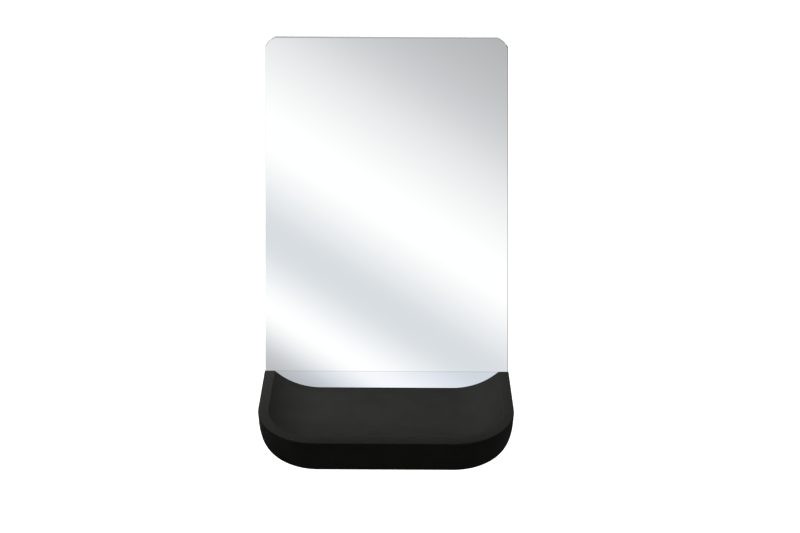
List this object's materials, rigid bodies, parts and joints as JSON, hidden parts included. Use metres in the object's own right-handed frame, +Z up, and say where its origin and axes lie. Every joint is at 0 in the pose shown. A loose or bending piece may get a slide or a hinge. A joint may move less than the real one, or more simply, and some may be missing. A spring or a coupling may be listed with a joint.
{
  "type": "wall-hung makeup mirror with tray",
  "caption": "Frameless upright mirror glass with clipped top corners and a black D-shaped moulded tray at its foot, hung on a wall by folded clips.",
  "frame": {"origin": "on the wall, midway between the two wall screw holes of the wall clip", "axes": "+Z up, +Y into the wall, so the mirror looks along -Y; +X to the right as seen from the front"},
  "size_m": [0.2632, 0.1547, 0.4575],
  "materials": {
    "mirror_glass": "silvered float glass with polished edge",
    "backing_film": "grey safety film over the painted back",
    "foam": "closed-cell foam tape",
    "carrier_board": "black moisture-proof fibreboard",
    "zinc_steel": "zinc plated",
    "screw_steel": "zinc plated",
    "rubber": "matt",
    "coated_steel": "black powder coat",
    "tray_plastic": "satin black, fine moulded texture"
  },
  "bodies": {
    "wall_side": {"wall_clip": "zinc_steel"},
    "mirror_unit": {"mirror_glass": "mirror_glass", "safety_film": "backing_film", "tape_top": "foam", "tape_bottom": "foam", "tape_left": "foam", "tape_right": "foam", "carrier_panel": "carrier_board", "hanger_clip": "zinc_steel", "hanger_screws": "screw_steel", "bumper_left": "rubber", "bumper_right": "rubber", "bracket_screws": "screw_steel", "setting_pad_left": "rubber", "setting_pad_right": "rubber", "tray_dish": "tray_plastic", "tray_shell": "tray_plastic", "tray_bracket": "coated_steel", "tray_screws": "screw_steel", "screw_plugs": "tray_plastic", "rear_seal": "rubber"}
  },
  "joints": [
    {"name": "lift_off", "type": "slide", "parent": "wall_side", "child": "mirror_unit", "axis": [0, 0, 1], "range_m": [0, 0.01]}
  ]
}
